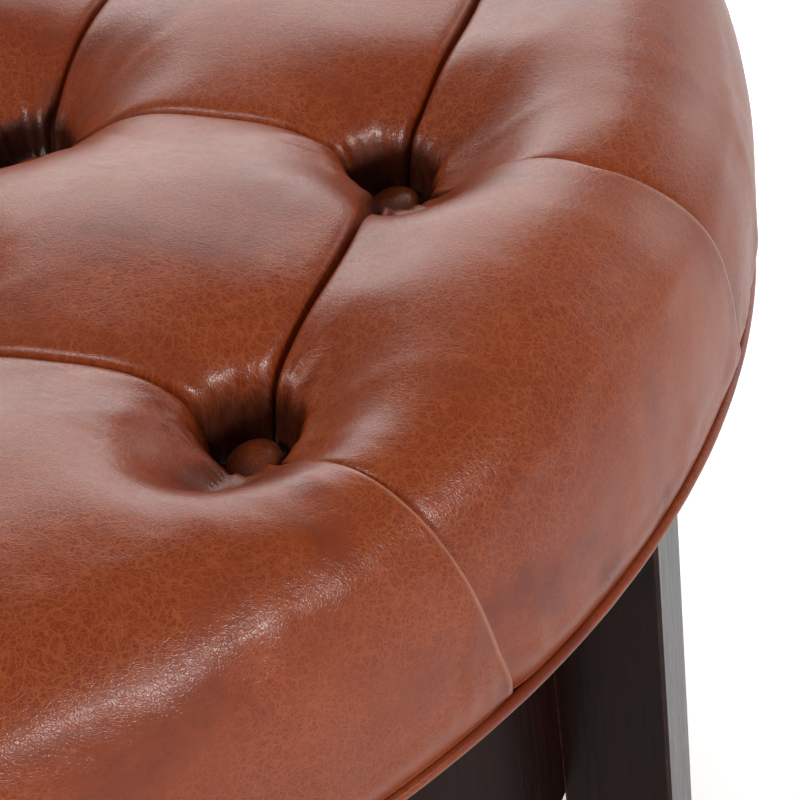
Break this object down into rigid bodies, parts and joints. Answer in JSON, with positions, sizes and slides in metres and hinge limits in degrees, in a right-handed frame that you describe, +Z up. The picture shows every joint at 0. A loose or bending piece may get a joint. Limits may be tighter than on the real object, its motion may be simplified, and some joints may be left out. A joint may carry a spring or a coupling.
{
  "type": "storage ottoman",
  "caption": "Round button-tufted leather ottoman with a padded lid hinged on a dark wooden storage drum that stands on square legs.",
  "frame": {"origin": "on the floor under the centre of the round seat", "axes": "+Z up; front of the seat towards -Y, hinges towards +Y, legs on the diagonals"},
  "size_m": [0.9162, 0.9161, 0.4598],
  "materials": {
    "cover_leather": "semi-gloss cognac leather with fine crackle",
    "foam": "upholstery foam",
    "piping_cord": "cotton cord",
    "twine": "waxed nylon twine",
    "washer_plastic": "moulded washer",
    "button_metal": "stamped aluminium",
    "plywood": "birch plywood",
    "dust_cover": "black non-woven cloth",
    "staple_wire": "galvanised wire",
    "hinge_steel": "plated steel",
    "screw_steel": "zinc-plated steel",
    "drum_wood": "dark espresso-stained veneer",
    "leg_wood": "dark espresso-stained hardwood, satin lacquer",
    "block_wood": "plain hardwood",
    "bolt_steel": "zinc-plated steel",
    "insert_brass": "turned brass",
    "glide_plastic": "black nylon",
    "well_cloth": "black lining cloth",
    "felt": "brown felt",
    "bumper_rubber": "black rubber"
  },
  "bodies": {
    "base": {"hinge_wall_leaves": "hinge_steel", "hinge_pins": "hinge_steel", "wall_hinge_screws": "screw_steel", "rim_screws": "screw_steel", "floor_screws": "screw_steel", "cleat_screws": "screw_steel", "block_screws": "screw_steel", "front_wall_panel": "drum_wood", "right_wall_panel": "drum_wood", "back_wall_panel": "drum_wood", "left_wall_panel": "drum_wood", "rim_ring": "drum_wood", "hinge_block": "drum_wood", "front_right_leg": "leg_wood", "back_right_leg": "leg_wood", "back_left_leg": "leg_wood", "front_left_leg": "leg_wood", "corner_blocks": "block_wood", "floor_cleats": "block_wood", "drum_floor": "plywood", "leg_bolts": "bolt_steel", "leg_washers": "bolt_steel", "leg_inserts": "insert_brass", "leg_glides": "glide_plastic", "floor_lining": "well_cloth", "wall_linings": "well_cloth", "rim_bumpers": "felt", "rear_bumpers": "bumper_rubber"},
    "lid": {"leather_cover": "cover_leather", "cushion_foam": "foam", "lid_board": "plywood", "tuft_buttons": "cover_leather", "button_cores": "button_metal", "tuft_twines": "twine", "twine_washers": "washer_plastic", "edge_piping": "cover_leather", "piping_cord": "piping_cord", "lid_lining": "dust_cover", "lining_staples": "staple_wire", "hinge_lid_leaves": "hinge_steel", "lid_hinge_screws": "screw_steel"}
  },
  "joints": [
    {"name": "lid_hinge", "type": "hinge", "parent": "base", "child": "lid", "pos_m": [0, 0.39, 0.3234], "axis": [-1, 0, 0], "range_deg": [0, 95]}
  ]
}
